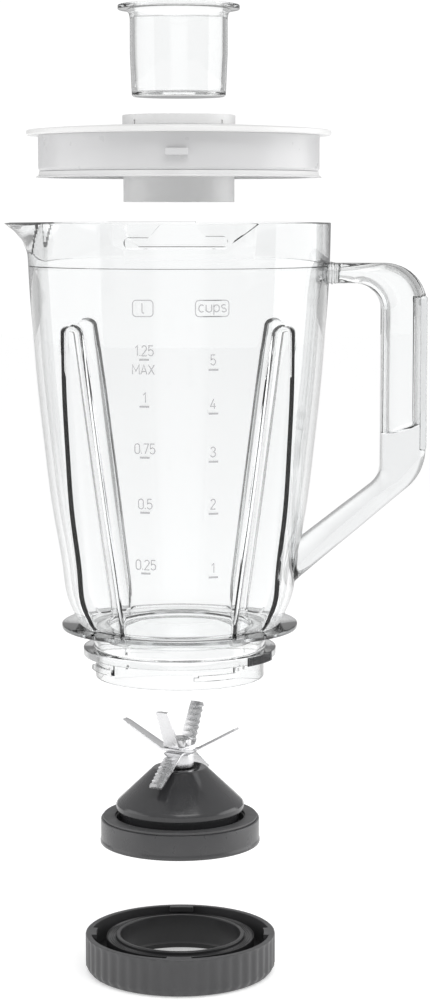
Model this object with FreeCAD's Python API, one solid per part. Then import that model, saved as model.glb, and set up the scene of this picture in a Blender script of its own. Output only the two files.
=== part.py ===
import FreeCAD, Part
import math
import os

# Jug assembly of a countertop blender, stored taken apart along its own axis.
# Millimetres, +Z up. Z = 0 is the underside of the lock ring, X points to the handle, -Y is the front.

os.makedirs("parts", exist_ok=True)
V = FreeCAD.Vector
Z = V(0, 0, 1)

# ---------------------------------------------------------------- driving dimensions
rim_z = 367.7            # top edge of the jug
band_z = 347.2           # ledge inside the jug that the lid seal lands on
jug_outer = [(184.9, 53.9), (199.7, 56.6), (229.1, 61.3), (258.4, 64.9), (287.5, 68.0),
             (316.4, 70.3), (345.0, 72.1), (rim_z, 72.6)]
jug_inner = [(180.6, 49.6), (199.7, 53.2), (229.1, 57.9), (258.4, 61.5), (287.5, 64.6),
             (316.4, 66.8), (band_z, 68.2)]
band_inner_r = 69.1      # inside of the rim band that takes the lid
foot_z, foot_top_z, foot_r = 172.2, 174.4, 57.3
flange_z, flange_top_z, flange_r = 158.8, 162.7, 46.9
neck_r = 41.8
collar_z, collar_r, collar_inner_r = 148.1, 41.1, 39.6
lip_z, lip_r, floor_hole_r, floor_hole_z = 166.0, 34.3, 32.0, 173.0
ramp_z, ramp_top_z, ramp_r = 152.6, 155.2, 43.3
ramp_from_deg, ramp_long_deg = 10.0, 29.0

flute_top, flute_bottom = (313.0, 78.5, 12.3), (176.0, 64.3, 19.0)   # z, axis radius, flute radius
flute_wall = 2.8
spout_levels = [(350.5, 72.6), (355.0, 73.3), (359.5, 75.8), (363.5, 79.2), (366.2, 82.9), (rim_z, 84.8)]
spout_wall = 2.6

track_depth_r = 70.5     # floor of the bayonet track in the rim band
lug_half_deg, lid_turn_deg = 4.4, 14.0

grip_in, grip_out, grip_half_y = 97.0, 118.7, 11.0
arm_z, arm_top_z = 338.9, 348.5

lid_skirt_r, lid_edge_r = 67.0, 72.6
lid_bottom_z, lid_under_z, lid_edge_z, lid_crown_z = 388.9, 408.8, 411.4, 413.6
tube_bottom_z, collar_top_z = 377.4, 418.5
tube_r, tube_inner_r, lid_collar_r = 26.5, 23.7, 26.9

cap_bottom_z, cap_top_z, cap_r, cap_flange_r = 427.1, 470.0, 23.2, 28.9

base_z, base_top_z, base_r = 65.0, 77.0, 38.9
base_web_z, groove_z = 69.7, 72.0
cone_neck_r, cone_rim_r, cone_rim_z, cone_edge_z = 28.7, 31.4, 81.2, 85.1
cone_top_z, cone_top_r = 102.1, 12.0
shaft_r, bush_r, boss_r = 4.0, 6.5, 9.6
hub_z = 109.2            # underside of the stack of blades
blade_t = 1.2

ring_h, ring_r, ring_inner_r = 18.8, 46.6, 44.0
hub_r, hub_inner_r, hub_top_z = 31.7, 29.7, 18.1
ring_floor_z, ring_floor_top_z = 3.2, 7.6
bottom_hole_r = 33.5     # the ring is wider inside below its hub
flutes = 48


def revolve(points):
    """Solid of revolution about Z from (radius, z) points."""
    wire = Part.makePolygon([V(r, 0, z) for r, z in points + points[:1]])
    return Part.Face(wire).revolve(V(0, 0, 0), Z, 360)


def tube(r_out, r_in, z0, z1):
    return revolve([(r_in, z0), (r_out, z0), (r_out, z1), (r_in, z1)])


def disc(r, z0, z1):
    return Part.makeCylinder(r, z1 - z0, V(0, 0, z0))


def sector(r_out, r_in, z0, z1, start_deg, sweep_deg):
    """Piece of a ring, angles from +X."""
    face = Part.Face(Part.makePolygon([V(r_in, 0, z0), V(r_out, 0, z0), V(r_out, 0, z1), V(r_in, 0, z1),
                                       V(r_in, 0, z0)]))
    piece = face.revolve(V(0, 0, 0), Z, sweep_deg)
    piece.rotate(V(0, 0, 0), Z, start_deg)
    return piece


def turned(shape, deg):
    copy = shape.copy()
    copy.rotate(V(0, 0, 0), Z, deg)
    return copy


def walled_profile(curve, lower):
    """Solid of revolution whose side is a smooth curve of (z, radius) points, closed by (radius, z) points."""
    side = Part.BSplineCurve()
    side.interpolate([V(r, 0, z) for z, r in curve])
    last = curve[-1]
    first = curve[0]
    path = [V(last[1], 0, last[0]), V(0, 0, last[0]), V(0, 0, lower[0][1])]
    path += [V(r, 0, z) for r, z in lower] + [V(first[1], 0, first[0])]
    edges = [side.toShape()]
    for a, b in zip(path, path[1:]):
        if a.distanceToPoint(b) > 1e-6:
            edges.append(Part.makeLine(a, b))
    wire = Part.Wire(Part.__sortEdges__(edges))
    return Part.Face(wire).revolve(V(0, 0, 0), Z, 360)


def save(name, shape):
    shape = shape.removeSplitter() if shape.ShapeType != "Compound" else shape
    shape.exportStep("parts/" + name + ".step")
    box = shape.BoundBox
    print(name, "valid", shape.isValid(), "solids", len(shape.Solids), "vol", round(shape.Volume, 1),
          "z", round(box.ZMin, 2), round(box.ZMax, 2), "x", round(box.XMin, 2), round(box.XMax, 2))


# ---------------------------------------------------------------- jug
outer = walled_profile(jug_outer, [(46.6, foot_top_z), (49.6, 177.0), (52.0, 180.6)])
inner = walled_profile(jug_inner, [(floor_hole_r, floor_hole_z), (43.0, 173.9), (46.6, 174.8), (48.6, 176.8)])


def spout(grow):
    """Pointed pouring lip: a tear shape at each level, tangent to the jug's circle."""
    wires = []
    for z, tip in spout_levels:
        d = tip + grow
        r = 72.3 + grow
        reach = math.acos(min(r / (d + 1.5), 0.9995))
        side = [V(-r * math.cos(reach), s * r * math.sin(reach), z) for s in (1, -1)]
        nose = [V(-d + 0.6, s * 2.2, z) for s in (1, -1)]
        wires.append(Part.makePolygon([side[0], nose[0], V(-d, 0, z), nose[1], side[1], V(-60, 0, z), side[0]]))
    return Part.makeLoft(wires, True, True)


spout_outer = spout(0.0)
spout_inner = spout(-spout_wall)
spout_top = spout_inner.copy()
spout_top.translate(V(0, 0, 0.6))
shell = outer.fuse(spout_outer)

# flutes pressed into the wall on the four diagonals
flute_h = flute_top[0] - flute_bottom[0]
lean = math.degrees(math.atan2(flute_top[1] - flute_bottom[1], flute_h))


def flute(grow):
    foot = V(flute_bottom[1], 0, flute_bottom[0] - 6)
    head = V(flute_top[1], 0, flute_top[0])
    axis = head - foot
    body = Part.makeCone(flute_bottom[2] + grow, flute_top[2] + grow, axis.Length, foot, axis)
    ball = Part.makeSphere(flute_top[2] + grow, head)
    return body.fuse(ball)


above_foot = disc(90, foot_top_z + 0.8, 340)
groove = flute(0).common(above_foot)
swelling = flute(flute_wall).common(disc(70, foot_z, 345))
cavity = inner.fuse(disc(band_inner_r, band_z, rim_z + 1)).fuse(disc(floor_hole_r, lip_z - 1, floor_hole_z + 1))
cavity = cavity.fuse(spout_inner).fuse(spout_top)
for k in range(4):
    cavity = cavity.cut(turned(swelling, 45 + 90 * k))
jug = shell
lower = revolve([(0, lip_z), (lip_r, lip_z), (lip_r, foot_z - 0.6), (collar_inner_r, foot_z - 0.6),
                 (collar_inner_r, collar_z), (collar_r, collar_z), (collar_r, flange_z), (flange_r - 0.8, flange_z),
                 (flange_r, flange_z + 0.8), (flange_r, flange_top_z - 0.8), (flange_r - 0.8, flange_top_z),
                 (neck_r, flange_top_z), (neck_r, foot_z), (foot_r - 0.8, foot_z), (foot_r, foot_z + 0.8),
                 (foot_r, foot_top_z - 0.6), (foot_r - 0.6, foot_top_z), (47.5, foot_top_z),
                 (46.6, foot_top_z + 0.2), (0, foot_top_z + 0.2)])
jug = jug.fuse(lower)
for k in range(4):
    jug = jug.cut(turned(groove, 45 + 90 * k))
jug = jug.cut(cavity)

# bayonet track for the lid, front and back
def at(deg):
    return 70.0 * math.sin(math.radians(deg))


slot_z, slot_top_z = 356.6, 361.2
closed = lug_half_deg + lid_turn_deg + 1.4
outline = [V(at(-closed) + 1.6, 0, slot_z), V(at(18.0), 0, slot_z), V(at(33.0), 0, rim_z + 0.01),
           V(at(33.0), 0, rim_z + 2), V(at(-5.1), 0, rim_z + 2), V(at(-5.1), 0, rim_z),
           V(at(-10.5), 0, slot_top_z), V(at(-closed) + 1.6, 0, slot_top_z), V(at(-closed), 0, slot_top_z - 1.6),
           V(at(-closed), 0, slot_z + 1.6), V(at(-closed) + 1.6, 0, slot_z)]
track = Part.Face(Part.makePolygon(outline)).extrude(V(0, -90, 0))
track = track.common(tube(track_depth_r, 67.5, 350, 372))
jug = jug.cut(track).cut(turned(track, 180))

# ramps on the collar that hold the lock ring, each with a lead-in and an end stop
for k in range(4):
    start = 270 + ramp_from_deg + 90 * k
    jug = jug.fuse(sector(ramp_r, collar_inner_r + 0.5, ramp_z, ramp_top_z, start + 3, ramp_long_deg - 3))
    jug = jug.fuse(sector(ramp_r, collar_inner_r + 0.5, ramp_z, ramp_top_z - 0.9, start, 3.5))
    jug = jug.fuse(sector(ramp_r, collar_inner_r + 0.5, ramp_z, flange_z + 0.5, start + ramp_long_deg, 2.5))
save("jug_body", jug)

# block of grip ribs on the edge of the collar flange, beside the handle
tab = sector(48.0, flange_r - 0.4, 158.2, 162.6, -42, 42)
for k in range(9):
    tab = tab.cut(sector(48.3, 47.3, 158.0, 161.6, -40 + 4.4 * k, 2.0))
save("index_tab", tab.cut(lower))

# handle: a moulded loop, hollow in the grip, with a cover strip along its outside
path = [V(66, 0, arm_top_z), V(grip_out, 0, arm_top_z), V(grip_out, 0, 248.0), V(50, 0, 190.2),
        V(50, 0, 209.0), V(grip_in, 0, 245.4), V(grip_in, 0, arm_z), V(66, 0, arm_z)]
loop = Part.Face(Part.makePolygon([p + V(0, -grip_half_y, 0) for p in path + path[:1]]))
loop = loop.extrude(V(0, 2 * grip_half_y, 0))


def edge_at(shape, x, z):
    for edge in shape.Edges:
        ends = edge.Vertexes
        if len(ends) == 2 and abs(ends[0].X - x) < 1e-3 and abs(ends[1].X - x) < 1e-3:
            if abs(ends[0].Z - z) < 1e-3 and abs(ends[1].Z - z) < 1e-3:
                return edge
    return None


for x, z, radius in ((grip_out, arm_top_z, 20), (grip_out, 248.0, 24), (grip_in, 245.4, 12), (grip_in, arm_z, 13)):
    loop = loop.makeFillet(radius, [edge_at(loop, x, z)])
rounding = []
for edge in loop.Edges:
    box = edge.BoundBox
    if abs(box.YMax - box.YMin) < 1e-3 and box.XMax > 66.5 and box.XMin > 49.9:
        rounding.append(edge)
loop = loop.makeFillet(3.6, rounding)
hollow = Part.makeBox(grip_out - grip_in - 2.6 + 5, 2 * (grip_half_y - 2.6), 66.0,
                      V(grip_in + 2.6, -(grip_half_y - 2.6), 263.0))
hollow = hollow.makeFillet(3.0, [e for e in hollow.Edges if abs(e.BoundBox.YMax - e.BoundBox.YMin) < 1e-3
                                 and abs(e.BoundBox.ZMax - e.BoundBox.ZMin) < 1e-3])
cover_slab = Part.makeBox(3.4, 2 * (grip_half_y - 1.2), 74.0, V(grip_out - 3.4, -(grip_half_y - 1.2), 259.0))
cover = loop.common(cover_slab)
handle = loop.cut(hollow).cut(cover_slab).cut(outer).cut(lower)
save("jug_handle", handle)
save("handle_cover", cover)

# printed scale on the front wall: tick marks and two label frames
skin = walled_profile([(z, r + 0.25) for z, r in jug_outer], [(46.6, foot_top_z), (49.6, 177.0), (52.0, 180.6)])
litre_ticks = [306.3, 284.8, 261.2, 235.4, 206.4]
cup_ticks = [301.7, 281.6, 259.3, 234.9, 204.5]
marks = []
for x, levels in ((-15.0, litre_ticks), (16.7, cup_ticks)):
    for z in levels:
        marks.append(Part.makeBox(4.8, 40, 0.9, V(x - 2.4, -90, z - 0.45)))
for x, half in ((-15.5, 5.0), (16.1, 8.0)):
    frame_out = Part.makeBox(2 * half, 40, 7.8, V(x - half, -90, 325.8))
    frame_in = Part.makeBox(2 * half - 1.0, 42, 6.8, V(x - half + 0.5, -91, 326.3))
    marks.append(frame_out.cut(frame_in))
marks = [m.common(skin).cut(outer) for m in marks]
save("volume_marks", Part.makeCompound([s for m in marks for s in m.Solids]))

# ---------------------------------------------------------------- lid
groove_r = 65.0
seal = revolve([(groove_r + 0.05, lid_bottom_z + 0.1), (68.2, lid_bottom_z + 0.1), (68.2, lid_bottom_z + 0.7),
                (66.9, lid_bottom_z + 2.9), (groove_r + 0.05, lid_bottom_z + 2.9)])
save("lid_seal", seal)

skirt = revolve([(62.8, lid_bottom_z), (groove_r, lid_bottom_z), (groove_r, lid_bottom_z + 3.0),
                 (lid_skirt_r, lid_bottom_z + 3.0), (lid_skirt_r, lid_under_z), (62.8, lid_under_z)])
lug_z, lug_h = 398.4, 3.2
for side in (270, 90):
    skirt = skirt.fuse(sector(70.1, 66.0, lug_z, lug_z + lug_h, side - lug_half_deg, 2 * lug_half_deg))
save("lid_skirt", skirt)

cover_lid = revolve([(lid_collar_r - 1.9, lid_under_z), (lid_edge_r - 0.5, lid_under_z), (lid_edge_r, lid_under_z + 0.5),
                     (lid_edge_r, lid_edge_z - 0.8), (lid_edge_r - 0.8, lid_edge_z), (66.0, lid_edge_z + 0.45),
                     (54.0, lid_edge_z + 1.15), (40.0, lid_crown_z - 0.4), (lid_collar_r - 1.9, lid_crown_z)])
save("lid_cover", cover_lid)

inset = lid_collar_r - 1.9
spigot = revolve([(tube_inner_r, tube_bottom_z), (tube_r, tube_bottom_z), (tube_r, lid_under_z - 0.0),
                  (inset, lid_under_z), (inset, lid_crown_z), (lid_collar_r, lid_crown_z),
                  (lid_collar_r, collar_top_z - 0.6), (lid_collar_r - 0.6, collar_top_z), (tube_inner_r + 2.0, collar_top_z),
                  (tube_inner_r, collar_top_z - 2.0)])
for deg in (220, 320, 40, 140):
    spigot = spigot.cut(sector(lid_collar_r + 1, lid_collar_r - 1.0, lid_crown_z + 0.2, lid_crown_z + 2.2, deg - 1.2, 2.4))
save("filler_tube", spigot)

cap = revolve([(0, cap_bottom_z), (20.6, cap_bottom_z), (22.1, cap_bottom_z + 1.4), (22.4, cap_bottom_z + 3.0),
               (cap_r, cap_bottom_z + 20.0), (cap_r, 463.5), (24.4, 465.4), (26.4, 467.2),
               (cap_flange_r - 0.4, 467.2), (cap_flange_r, 467.7), (cap_flange_r, cap_top_z - 0.5),
               (cap_flange_r - 0.5, cap_top_z), (24.2, cap_top_z), (22.6, 467.6), (21.4, 464.2), (21.3, cap_bottom_z + 20.0),
               (20.6, cap_bottom_z + 4.6), (19.0, cap_bottom_z + 2.4), (0, cap_bottom_z + 2.2)])
save("measuring_cap", cap)

# ---------------------------------------------------------------- blade unit
base = revolve([(26.7, base_web_z), (36.9, base_web_z), (36.9, base_z), (39.0, base_z), (39.25, base_z + 0.3),
                (39.25, base_z + 1.6), (base_r, base_z + 2.2), (base_r, base_top_z - 0.6), (base_r - 0.6, base_top_z),
                (31.3, base_top_z), (31.3, groove_z), (26.7, groove_z)])
save("blade_base", base)
gasket = tube(38.0, 31.7, base_top_z, base_top_z + 1.2)
save("base_gasket", gasket)

cone = revolve([(25.9, groove_z), (cone_neck_r, groove_z), (cone_neck_r, cone_rim_z),
                (cone_rim_r - 0.4, cone_rim_z), (cone_rim_r, cone_rim_z + 0.5), (cone_rim_r, cone_edge_z - 1.0), (cone_rim_r - 0.7, cone_edge_z + 0.2),
                (cone_top_r + 0.5, cone_top_z - 0.4), (cone_top_r - 0.3, cone_top_z), (bush_r + 1.6, cone_top_z),
                (bush_r + 1.6, cone_top_z - 3.0), (bush_r, cone_top_z - 3.0), (bush_r, 82.0), (boss_r, 82.0),
                (boss_r, 98.4), (11.4, 98.4), (27.2, 84.4), (27.2, 80.4), (25.9, 79.2)])
save("blade_cone", cone)
save("shaft_seal", tube(bush_r + 1.6, shaft_r + 0.06, cone_top_z - 3.0, cone_top_z - 0.4))
save("upper_bush", tube(bush_r, shaft_r + 0.05, 91.6, cone_top_z - 3.0))
save("lower_bush", tube(bush_r, shaft_r + 0.05, 82.0, 90.0))

# ---------------------------------------------------------------- blades on their shaft
save("blade_shaft", disc(shaft_r, 74.4, hub_z + 3 * blade_t).fuse(disc(3.0, hub_z + 3 * blade_t, hub_z + 6.2)))
save("thrust_washer", tube(7.4, shaft_r, 79.6, 80.9))
save("shaft_circlip", tube(6.4, shaft_r, 80.9, 81.8))
save("blade_spacer", tube(6.8, shaft_r, cone_top_z + 0.3, hub_z))


def arm(az, reach, rise, bend_r, width, tip_width, z, edge):
    """One bent blade arm: flat from the hub to bend_r, then sloping to its tip at (reach, z + rise)."""
    run = reach - bend_r
    length = math.hypot(run, rise)
    half, tip = width / 2, tip_width / 2
    upper = [(0, half)]
    under = [(0, -half)]
    steps = 9
    for k in range(1, steps):
        s = length * k / steps
        w = half + (tip - half) * s / length
        under.append((s, -w))
        if edge == "teeth" and k > 1:
            upper.append((s - 0.25 * length / steps, w - 0.9))
            upper.append((s, w))
        elif edge == "step":
            upper.append((s, w if k < 5 else w - 1.2))
        else:
            upper.append((s, w))
    nose = [(length, tip - 1.6), (length, -tip + 0.4)]
    outline = upper + nose + under[::-1]
    face = Part.Face(Part.makePolygon([V(s, w, 0) for s, w in outline + outline[:1]]))
    blade = face.extrude(V(0, 0, blade_t))
    blade.rotate(V(0, 0, 0), V(0, 1, 0), -math.degrees(math.atan2(rise, run)))
    blade.translate(V(bend_r, 0, z))
    flat = Part.makeBox(bend_r + 0.45, width, blade_t, V(0, -half, z))
    return turned(blade.fuse(flat), az)


def strip(name, z, az, reach, rise, bend_r, width, tip_width, edge):
    pair = arm(az, reach, rise, bend_r, width, tip_width, z, edge)
    pair = pair.fuse(arm(az + 180, reach, rise, bend_r, width, tip_width, z, edge))
    save(name, pair.cut(disc(shaft_r, z - 2, z + 8)))


strip("blade_lower", hub_z, 244, 27.0, -12.6, 7.4, 8.6, 6.4, "teeth")
strip("blade_middle", hub_z + blade_t, 155, 30.0, 12.4, 8.0, 8.4, 5.0, "step")
strip("blade_upright", hub_z + 2 * blade_t, 236, 15.4, 19.6, 6.4, 8.6, 6.0, "teeth")

nut = Part.makePolygon([V(5.6 * math.cos(math.radians(60 * k)), 5.6 * math.sin(math.radians(60 * k)),
                          hub_z + 3 * blade_t) for k in range(7)])
nut = Part.Face(nut).extrude(V(0, 0, 3.2))
dome = Part.makeCone(4.6, 2.6, 1.2, V(0, 0, hub_z + 3 * blade_t + 3.2))
save("blade_nut", nut.fuse(dome).cut(disc(3.0, hub_z + 3 * blade_t - 1, hub_z + 6.2)))

# socket that the motor's drive goes into
coupling = disc(11.0, 66.4, 78.6).cut(disc(7.0, 66.0, 74.0)).cut(disc(shaft_r, 72.0, 79.0))
for k in range(4):
    key = Part.makeBox(9.2, 2.0, 7.0, V(0, -1.0, 66.0))
    coupling = coupling.cut(turned(key, 45 + 90 * k))
for k in range(12):
    coupling = coupling.cut(turned(Part.makeCylinder(1.1, 20, V(11.6, 0, 60)), 30 * k))
save("drive_coupling", coupling)

# ---------------------------------------------------------------- lock ring
washer = revolve([(hub_r + 0.05, ring_floor_top_z), (36.5, ring_floor_top_z), (36.5, 17.2), (36.1, 17.4), (35.9, 16.4),
                  (35.1, 16.4), (35.0, 17.4), (34.7, 17.4), (34.6, 16.4), (33.7, 16.4), (33.6, 17.4), (33.2, 17.4),
                  (33.1, 16.4), (hub_r + 0.05, 16.4)])
save("slip_washer", washer)

ring = revolve([(43.0, 0), (ring_r - 2.6, 0), (ring_r - 1.2, 1.0), (ring_r, 3.2), (ring_r, ring_h - 0.4),
                (ring_r - 0.4, ring_h), (ring_inner_r, ring_h), (ring_inner_r, ring_floor_z), (43.0, ring_floor_z)])
for k in range(flutes):
    scoop = Part.makeCone(1.6, 2.6, ring_h + 6, V(ring_r + 1.35, 0, -1), V(0, 0, 1))
    ring = ring.cut(turned(scoop, 360.0 * (k + 0.5) / flutes))
for k in range(4):
    ring = ring.fuse(sector(ring_inner_r + 0.5, 41.5, ring_h - 2.4, ring_h, 90 * k - 7.9, 15.8))
save("lock_ring", ring)
save("ring_floor", revolve([(hub_r, ring_floor_z), (bottom_hole_r, ring_floor_z), (bottom_hole_r, 0), (35.5, 0),
                            (35.5, ring_floor_z), (ring_inner_r, ring_floor_z), (ring_inner_r, ring_floor_top_z),
                            (hub_r, ring_floor_top_z)]))
save("ring_hub", revolve([(hub_inner_r, 4.6), (hub_inner_r + 0.8, ring_floor_z), (hub_r, ring_floor_z),
                          (hub_r, hub_top_z - 0.4), (hub_r - 0.4, hub_top_z), (hub_inner_r + 0.3, hub_top_z),
                          (hub_inner_r, hub_top_z - 0.3)]))
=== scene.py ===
import bpy
import bmesh
import math
import numpy as np
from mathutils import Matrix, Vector


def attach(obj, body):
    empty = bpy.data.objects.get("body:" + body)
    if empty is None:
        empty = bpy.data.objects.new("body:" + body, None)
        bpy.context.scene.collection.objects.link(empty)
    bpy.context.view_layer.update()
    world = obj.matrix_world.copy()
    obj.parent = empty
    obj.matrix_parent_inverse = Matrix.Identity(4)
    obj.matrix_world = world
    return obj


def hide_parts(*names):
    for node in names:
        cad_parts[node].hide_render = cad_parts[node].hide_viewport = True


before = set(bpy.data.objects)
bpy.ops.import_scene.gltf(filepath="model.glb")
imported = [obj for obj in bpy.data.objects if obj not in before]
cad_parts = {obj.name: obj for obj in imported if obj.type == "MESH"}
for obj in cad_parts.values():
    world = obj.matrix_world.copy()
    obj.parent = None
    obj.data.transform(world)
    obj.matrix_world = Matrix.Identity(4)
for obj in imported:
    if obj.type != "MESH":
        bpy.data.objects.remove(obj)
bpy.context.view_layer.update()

scene = bpy.context.scene
MM = 0.001


# ---- Table and studio --------------------------------------------------------------------------
# A pale floor just under the lock ring, soft white light all round, and two long side lamps
# that put a bright edge on the dark mouldings.
def add_mesh(name, verts, faces, smooth=True):
    mesh = bpy.data.meshes.new(name)
    mesh.from_pydata([tuple(v) for v in verts], [], [tuple(f) for f in faces])
    mesh.update()
    piece = bpy.data.objects.new(name, mesh)
    scene.collection.objects.link(piece)
    if smooth:
        mesh.polygons.foreach_set("use_smooth", [True] * len(mesh.polygons))
        mesh.set_sharp_from_angle(angle=math.radians(35))
    return piece


def feed(tree, made, fed):
    """Set a node's inputs, by name or number, from sockets or plain values."""
    for key, value in fed.items():
        if isinstance(value, bpy.types.NodeSocket):
            tree.links.new(value, made.inputs[key])
        else:
            made.inputs[key].default_value = value
    return made


def node(tree, kind, fed=None, **settings):
    """Add a node, set its properties and feed its inputs."""
    made = tree.nodes.new(kind)
    for key, value in settings.items():
        setattr(made, key, value)
    return feed(tree, made, fed or {})


def ramp(tree, factor, first, last, ease="LINEAR"):
    """Colour that goes from one (position, colour) to another as the factor rises."""
    made = node(tree, "ShaderNodeValToRGB", {0: factor})
    made.color_ramp.interpolation = ease
    for stop, (position, colour) in zip(made.color_ramp.elements, (first, last)):
        stop.position = position
        stop.color = (*colour, 1)
    return made.outputs[0]


def material(name):
    """New material, with its tree and its main shader."""
    mat = bpy.data.materials.new(name)
    mat.use_nodes = True
    return mat, mat.node_tree, mat.node_tree.nodes["Principled BSDF"]


floor_half, floor_z = 6, -0.0004
corners = [(a * floor_half, b * floor_half, floor_z) for a, b in ((-1, -1), (1, -1), (1, 1), (-1, 1))]
floor = add_mesh("floor", corners, [(0, 1, 2, 3)], smooth=False)
floor_paint, tree, body = material("floor_paint")
feed(tree, body, {"Base Color": (0.8, 0.8, 0.8, 1), "Roughness": 0.75,
                  "Emission Color": (1, 1, 1, 1), "Emission Strength": 0.42})
floor.data.materials.append(floor_paint)

world = bpy.data.worlds.new("studio")
world.use_nodes = True
scene.world = world
sky = world.node_tree
sky.nodes.clear()
split = node(sky, "ShaderNodeSeparateXYZ", {0: node(sky, "ShaderNodeTexCoord").outputs["Generated"]})
height = node(sky, "ShaderNodeMath", {0: split.outputs["Z"], 1: 0.5, 2: 0.5}, operation="MULTIPLY_ADD")
fade = ramp(sky, height.outputs[0], (0.2, (0.35, 0.35, 0.36)), (0.95, (1, 1, 1)))


def dimmed(axis, start, full, grey, colour=1.0):
    """Darken the sky towards one direction, for light that has passed through the clear pieces."""
    ease = node(sky, "ShaderNodeMapRange", {"Value": split.outputs[axis], "From Min": start, "From Max": full,
                                            "To Min": 1.0, "To Max": grey}, interpolation_type="SMOOTHSTEP")
    return node(sky, "ShaderNodeMath", {0: ease.outputs[0], 1: colour}, operation="MULTIPLY").outputs[0]


card = dimmed("X", 0.26, 0.46, 0.42)
card = dimmed("X", -0.26, -0.46, 0.50, card)
card = dimmed("Z", 0.45, 0.85, 0.70, card)
cast, bent, seen = [node(sky, "ShaderNodeBackground", {"Color": colour, "Strength": power}).outputs[0]
                    for colour, power in ((fade, 0.8), (card, 1.05), ((1, 1, 1, 1), 1.05))]
rays = node(sky, "ShaderNodeLightPath")
through = node(sky, "ShaderNodeMixShader", {0: rays.outputs["Is Transmission Ray"], 1: cast, 2: bent})
blend = node(sky, "ShaderNodeMixShader", {0: rays.outputs["Is Camera Ray"], 1: through.outputs[0], 2: seen})
node(sky, "ShaderNodeOutputWorld", {0: blend.outputs[0]})


def lamp(name, place, aim, size, height, power):
    """Soft rectangular lamp that is not seen itself, nor through the clear pieces."""
    data = bpy.data.lights.new(name, "AREA")
    data.shape = "RECTANGLE"
    data.size = size
    data.size_y = height
    data.energy = power
    light = bpy.data.objects.new(name, data)
    light.location = place
    light.rotation_euler = (Vector(aim) - Vector(place)).to_track_quat("-Z", "Y").to_euler()
    light.visible_camera = False
    light.visible_transmission = False
    scene.collection.objects.link(light)


lamp("side_lamp_right", (1.03, 0.18, 0.30), (0, 0, 0.24), 0.95, 0.8, 4.5)
lamp("side_lamp_left", (-1.05, -0.07, 0.30), (0, 0, 0.24), 1.1, 0.8, 3.5)
lamp("top_lamp", (0.2, -0.6, 1.3), (0, 0, 0.25), 0.8, 0.8, 6)

view = bpy.data.cameras.new("camera")
view.sensor_fit = "VERTICAL"
view.sensor_height = 36
view.lens = 87.48
camera = bpy.data.objects.new("camera", view)
camera.location = (0.0172, -1.170, 0.3756)
camera.rotation_euler = (math.radians(90 - 6.9), 0, 0)
scene.collection.objects.link(camera)
scene.camera = camera
scene.view_settings.view_transform = "Standard"


# ---- Jug -----------------------------------------------------------------------------------------
# One clear moulding: a tapered body with a pouring lip, four flutes pressed into the wall, a rim band
# with a bayonet track on each side, a foot flange, and a thin collar with four ramps for the lock ring.
def smooth_curve(knots, heights):
    """Natural cubic through (height, radius) knots, read at the given heights."""
    t = np.array([k[0] for k in knots], float)
    y = np.array([k[1] for k in knots], float)
    n = len(t)
    h = np.diff(t)
    a = np.zeros((n, n))
    b = np.zeros(n)
    a[0, 0] = a[-1, -1] = 1
    for i in range(1, n - 1):
        a[i, i - 1:i + 2] = h[i - 1], 2 * (h[i - 1] + h[i]), h[i]
        b[i] = 6 * ((y[i + 1] - y[i]) / h[i] - (y[i] - y[i - 1]) / h[i - 1])
    m = np.linalg.solve(a, b)
    u = np.asarray(heights, float)
    i = np.clip(np.searchsorted(t, u) - 1, 0, n - 2)
    d = u - t[i]
    e = t[i + 1] - u
    s = (m[i] * e ** 3 + m[i + 1] * d ** 3) / (6 * h[i])
    s += (y[i] / h[i] - m[i] * h[i] / 6) * e + (y[i + 1] / h[i] - m[i + 1] * h[i] / 6) * d
    return s


def rounded(points, radius, steps=4):
    """Open (r, z) path with its inner corners rounded."""
    out = [points[0]]
    for p, q, s in zip(points, points[1:], points[2:]):
        p, q, s = Vector(p), Vector(q), Vector(s)
        one, two = (p - q), (s - q)
        cut = min(radius, one.length * 0.45, two.length * 0.45)
        start, end = q + one.normalized() * cut, q + two.normalized() * cut
        for k in range(steps + 1):
            t = k / steps
            out.append(tuple((1 - t) ** 2 * start + 2 * t * (1 - t) * q + t * t * end))
    return out + [points[-1]]


rim = 367.7
ledge = 347.2
outer_knots = [(180.6, 52.0), (184.9, 53.9), (199.7, 56.6), (229.1, 61.3), (258.4, 64.9), (287.5, 68.0),
               (316.4, 70.3), (345.0, 72.1), (366.9, 72.6)]
inner_knots = [(180.6, 48.6), (184.9, 50.5), (199.7, 53.2), (229.1, 57.9), (258.4, 61.5), (287.5, 64.6),
               (316.4, 66.8), (346.6, 68.2)]
side_rows = np.concatenate([np.arange(180.6, 313.5, 3.4), np.arange(314.5, 326, 0.5)])
outer_rows = np.concatenate([side_rows, np.arange(328, 349, 2.5), np.arange(350.5, 366.5, 0.8), [366.9]])
inner_rows = np.concatenate([side_rows, np.arange(328, 346, 2.5), [346.6]])
outside = list(zip(smooth_curve(outer_knots, outer_rows), outer_rows))
inside = list(zip(smooth_curve(inner_knots, inner_rows), inner_rows))[::-1]
rim_lip = rounded([(72.6, 366.9), (72.6, rim), (69.1, rim), (69.1, ledge), (68.2, ledge), (68.2, 346.6)], 0.7)
bowl = rounded([(48.6, 180.6), (46.4, 175.4), (45.2, 174.6), (33.0, 174.2), (32.0, 173.4),
                (32.0, 166.0)], 0.4)
foot = [(32.0, 166.0), (34.3, 166.0), (34.3, 171.6), (39.6, 171.6), (39.6, 148.1), (41.1, 148.1),
        (41.1, 158.8), (46.9, 158.8), (46.9, 162.7), (41.8, 162.7), (41.8, 172.2), (57.3, 172.2),
        (57.3, 174.4), (48.6, 174.4)]
foot = rounded([(32.0, 170.0)] + foot, 0.6, 3)[1:] + [(48.9, 174.8), (50.3, 177.2), (52.0, 180.6)]
profile = rim_lip[:-1] + inside + bowl[1:-1] + foot + outside[1:]
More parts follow.
